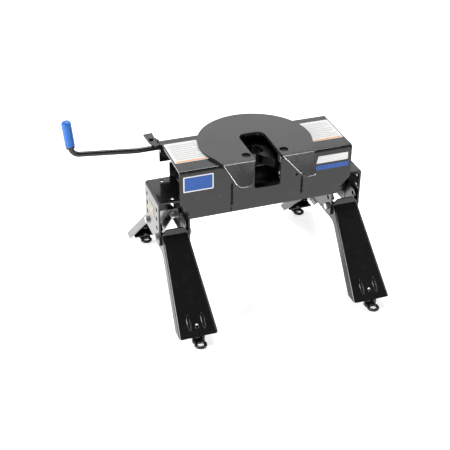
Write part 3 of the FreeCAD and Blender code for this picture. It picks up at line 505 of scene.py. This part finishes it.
def make_ear_highlight_edges():
    """Thin pale steel strips along the cut edge on one side of each ear, round to its tip: a painted
    highlight where these edges catch the light from the left.
    """
    low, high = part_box("skid_plate")
    tip_y = low[1]
    top = high[2]
    bend_y, drop, below_top = -0.112, 0.037, 0.0022
    slope = drop / (bend_y + 0.002 - tip_y)
    corner, corner_cut = 0.011, 0.25
    side_share = 0.82
    for name, hand, start_x, turn_x, end_x in (("left", -1, 0.1345, 0.1145, 0.079),
                                               ("right", 1, 0.041, 0.079, 0.1145)):
        way = 1 if end_x > turn_x else -1
        near_tip_x = start_x + (turn_x - start_x) * side_share
        near_tip_y = bend_y + (tip_y - bend_y) * side_share
        flat = [
            (start_x, bend_y), (near_tip_x, near_tip_y),
            (turn_x + way * corner * corner_cut, tip_y + corner * corner_cut),
            (turn_x + way * corner, tip_y + 0.0006), (end_x - way * corner, tip_y + 0.0006),
            (end_x - way * corner * corner_cut, tip_y + corner * corner_cut)]
        points = [(hand * x, y, top - below_top - max(0.0, (bend_y - y) * slope)) for x, y in flat]
        # each strip is a painted highlight along the ear's edge
        round_strip(f"{name}_ear_painted_highlight", points, EAR_EDGE_RADIUS, "head", EAR_HIGHLIGHT_STEEL)


RIB_HALF_WIDTH = 0.0072
RIB_HALF_HEIGHT = 0.0050
RIB_OFFSET = 0.021
RIB_LOW, RIB_HIGH = 0.012, 0.046
LEG_FOOT_Y = 0.2924
LEG_SLOPE = 1.0435


def pressed_rib(name, start, finish, body):
    """A long low swelling on the leg's web: a half-sunk capsule, thicker in the middle."""
    run = (finish - start).normalized()
    across = Vector((1.0, 0.0, 0.0))
    out = run.cross(across).normalized()
    rings = 17
    spokes = 16

    def maker(build):
        rows = []
        for ring in range(rings):
            share = ring / (rings - 1)
            bulge = math.sin(math.pi * share) ** 0.5
            centre = start.lerp(finish, share)
            row = []
            for spoke in range(spokes):
                angle = 2 * math.pi * spoke / spokes
                sideways = across * (RIB_HALF_WIDTH * math.cos(angle))
                offset = sideways + out * (RIB_HALF_HEIGHT * math.sin(angle))
                row.append(build.verts.new(centre + offset * max(bulge, 0.02)))
            rows.append(row)
        for low_row, high_row in zip(rows, rows[1:]):
            for spoke in range(spokes):
                after = (spoke + 1) % spokes
                build.faces.new((low_row[spoke], low_row[after], high_row[after], high_row[spoke]))
        build.faces.new(rows[0])
        build.faces.new(list(reversed(rows[-1])))

    piece = add_object(name, maker, PAINT, body)
    for polygon in piece.data.polygons:
        polygon.use_smooth = len(polygon.vertices) == 4


def make_foot_ribs():
    """Two raised ribs beside the hole at each foot, sunk a little into the sloping web."""
    sunk = 0.0012
    for side in ("left", "right"):
        for end in ("rear", "front"):
            low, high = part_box(f"{end}_{side}_leg")
            middle = (low[0] + high[0]) / 2
            sign = -1 if end == "rear" else 1
            for hand, label in ((-1, "inner"), (1, "outer")):
                x = middle + hand * RIB_OFFSET
                bottom, top = [Vector((x, sign * (LEG_FOOT_Y - LEG_SLOPE * z - sunk), z))
                               for z in (RIB_LOW, RIB_HIGH)]
                pressed_rib(f"{end}_{side}_foot_rib_{label}", bottom, top, "base")


paint_nodes()
make_decals()
make_top_labels()
make_upright_label()
make_welds()
make_spring()
make_ear_highlight_edges()
make_foot_ribs()


# ---- floor, light and camera --------------------------------------------------------------


def make_floor():
    """A plain pale floor that curves up into a backdrop."""
    mesh = bpy.data.meshes.new("floor")
    build = bmesh.new()
    level = CAD_BOX[0][2] - 0.0005
    front_y, bend_y, bend_radius, top_z, half_width = -6.0, 3.0, 1.5, 7.0, 8.0
    profile = [(front_y, level), (bend_y, level)]
    steps = 12
    for step in range(1, steps + 1):
        angle = math.radians(90 * step / steps)
        rise = bend_radius * (1 - math.cos(angle))
        profile.append((bend_y + bend_radius * math.sin(angle), level + rise))
    profile.append((bend_y + bend_radius, top_z))
    rows = [[build.verts.new((x, y, z)) for y, z in profile] for x in (-half_width, half_width)]
    for here in range(len(profile) - 1):
        build.faces.new((rows[0][here], rows[1][here], rows[1][here + 1], rows[0][here + 1]))
    build.to_mesh(mesh)
    build.free()
    for polygon in mesh.polygons:
        polygon.use_smooth = True
    floor = bpy.data.objects.new("floor", mesh)
    bpy.context.collection.objects.link(floor)
    shader = Shader("studio_white")
    color = shader.ramp(shader.noise(1.3, 2.0),
                        [(0.3, (0.93, 0.93, 0.93)), (0.7, (0.96, 0.96, 0.96))])
    shader.color_from(color)
    shader.set(Roughness=0.9, Specular_IOR_Level=0.1)
    shader.set(Emission_Color=(1, 1, 1, 1), Emission_Strength=0.55)
    mesh.materials.append(shader.material)


def area_light(name, position, target, size, power):
    """A rectangular light of size (width, height) that faces the target."""
    light = bpy.data.lights.new(name, "AREA")
    light.energy = power
    light.shape = "RECTANGLE"
    light.size, light.size_y = size
    lamp = bpy.data.objects.new(name, light)
    lamp.location = position
    lamp.rotation_euler = (target - Vector(position)).to_track_quat("-Z", "Y").to_euler()
    bpy.context.collection.objects.link(lamp)


def make_lights():
    """Bright round the horizon and dim above, with four area lights.

    The bar strip draws the streak along the handle bar, the left box lights the folds that face
    left, and the right strip does the same on the other side.
    """
    world = bpy.data.worlds.new("studio")
    bpy.context.scene.world = world
    world.use_nodes = True
    tree = world.node_tree
    background = tree.nodes["Background"]
    coordinates = tree.nodes.new("ShaderNodeTexCoord")
    split = tree.nodes.new("ShaderNodeSeparateXYZ")
    tree.links.new(coordinates.outputs["Generated"], split.inputs["Vector"])
    ramp = tree.nodes.new("ShaderNodeValToRGB")
    elements = ramp.color_ramp.elements
    elements[0].position = 0.30
    elements[0].color = (0.80, 0.80, 0.80, 1)
    elements[1].position = 0.62
    elements[1].color = (0.10, 0.10, 0.10, 1)
    tree.links.new(split.outputs["Z"], ramp.inputs["Fac"])
    tree.links.new(ramp.outputs["Color"], background.inputs["Color"])
    background.inputs["Strength"].default_value = 1.0
    centre = Vector((0, 0, 0.2))
    area_light("overhead", (-0.3, 0.9, 3.2), centre, (1.4, 0.8), 60)
    area_light("bar_strip", (0.75, 0.95, 3.2), centre, (1.8, 0.30), 45)
    area_light("left_box", (-2.6, -0.5, 1.0), centre, (1.1, 1.1), 55)
    area_light("right_strip", (2.4, -1.6, 1.6), centre, (0.25, 2.2), 16)


def make_camera():
    """The camera looks down from the tailgate side, a little from the driver's side."""
    azimuth = math.radians(-19.73)
    elevation = math.radians(32.42)
    roll = math.radians(0.62)
    distance = 3.001
    target = Vector((-0.0885, 0.0, 0.1668))
    level_run = math.cos(elevation)
    back = Vector((math.sin(azimuth) * level_run, -math.cos(azimuth) * level_run,
                   math.sin(elevation)))
    right = Vector((math.cos(azimuth), math.sin(azimuth), 0.0))
    up = back.cross(right)
    tilted_right = right * math.cos(roll) + up * math.sin(roll)
    tilted_up = up * math.cos(roll) - right * math.sin(roll)
    turn = Matrix((tilted_right, tilted_up, back)).transposed()
    camera = bpy.data.cameras.new("camera")
    camera.sensor_width = 36.0
    camera.lens = 80.6
    camera.shift_x = -0.0009
    camera.shift_y = -0.0071
    holder = bpy.data.objects.new("camera", camera)
    holder.matrix_world = Matrix.Translation(target + back * distance) @ turn.to_4x4()
    bpy.context.collection.objects.link(holder)
    bpy.context.scene.camera = holder
    bpy.context.scene.view_settings.view_transform = "Standard"


make_floor()
make_lights()
make_camera()
